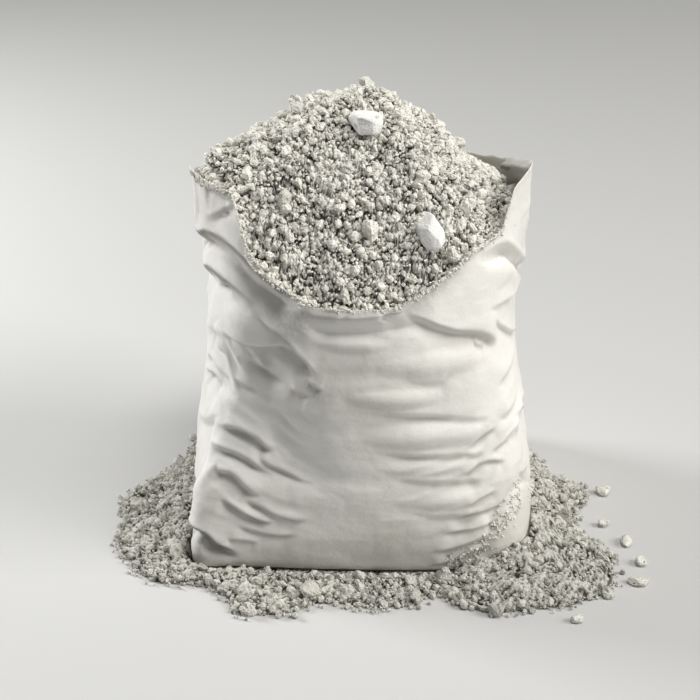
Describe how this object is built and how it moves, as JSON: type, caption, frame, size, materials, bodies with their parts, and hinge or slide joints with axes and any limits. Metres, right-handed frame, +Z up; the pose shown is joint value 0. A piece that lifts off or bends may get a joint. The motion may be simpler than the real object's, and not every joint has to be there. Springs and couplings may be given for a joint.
{
  "type": "cement sack",
  "caption": "Plain paper cement sack standing open, with lumpy grey cement heaped in its mouth and spilled round its foot.",
  "frame": {"origin": "middle of the sack's foot, on the floor", "axes": "+Z up, -Y out of the sack's front, where the rim is cut lowest, +X to the right seen from the front"},
  "size_m": [0.5364, 0.402, 0.4542],
  "materials": {
    "sack_paper": "matt, creased, dusty",
    "cement": "loose and lumpy",
    "pale_cement": "smooth broken cake"
  },
  "bodies": {
    "root": {"paper_sack": "sack_paper", "cement_fill": "cement", "pale_lump_upper": "pale_cement", "pale_lump_lower": "pale_cement", "spilled_cement": "cement", "stray_lump_1": "cement", "stray_lump_2": "cement", "stray_lump_3": "cement", "stray_lump_4": "cement", "stray_lump_5": "cement", "stray_lump_6": "cement"}
  },
  "joints": []
}
